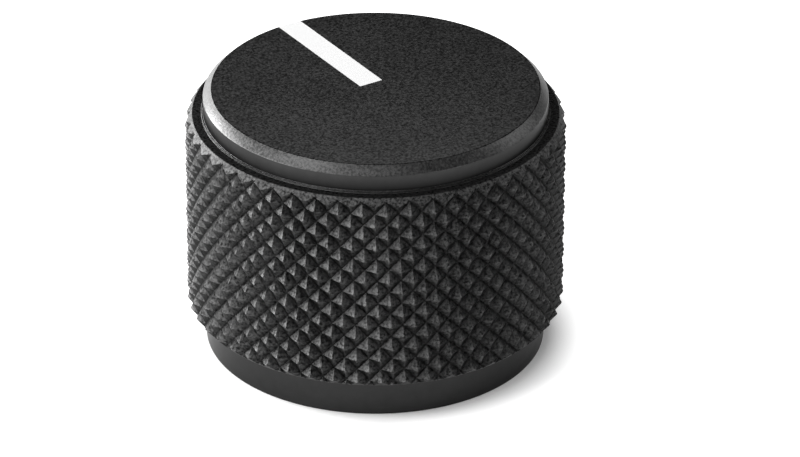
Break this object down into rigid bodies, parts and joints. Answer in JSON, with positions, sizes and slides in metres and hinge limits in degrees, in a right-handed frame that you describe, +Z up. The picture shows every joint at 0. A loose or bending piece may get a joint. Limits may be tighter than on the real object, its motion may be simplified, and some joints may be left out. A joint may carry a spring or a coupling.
{
  "type": "control knob",
  "caption": "Round control knob with a diamond-knurled grip band, a plain cap with a white pointer line, and a blind bore for a 6 mm shaft.",
  "frame": {"origin": "centre of the base ring's underside, on the shaft's axis", "axes": "+Z up the shaft's axis to the cap's face, +Y along the pointer line from the centre to the rim"},
  "size_m": [0.0222, 0.0222, 0.0161],
  "materials": {
    "black_anodised_body": "black anodised, bead blasted, with turned walls left smooth",
    "white_enamel": "white enamel fill, level with the face",
    "blackened_steel": "black oxide steel"
  },
  "bodies": {
    "root": {"knob_body": "black_anodised_body", "indicator_inlay": "white_enamel", "set_screw": "blackened_steel"}
  },
  "joints": []
}
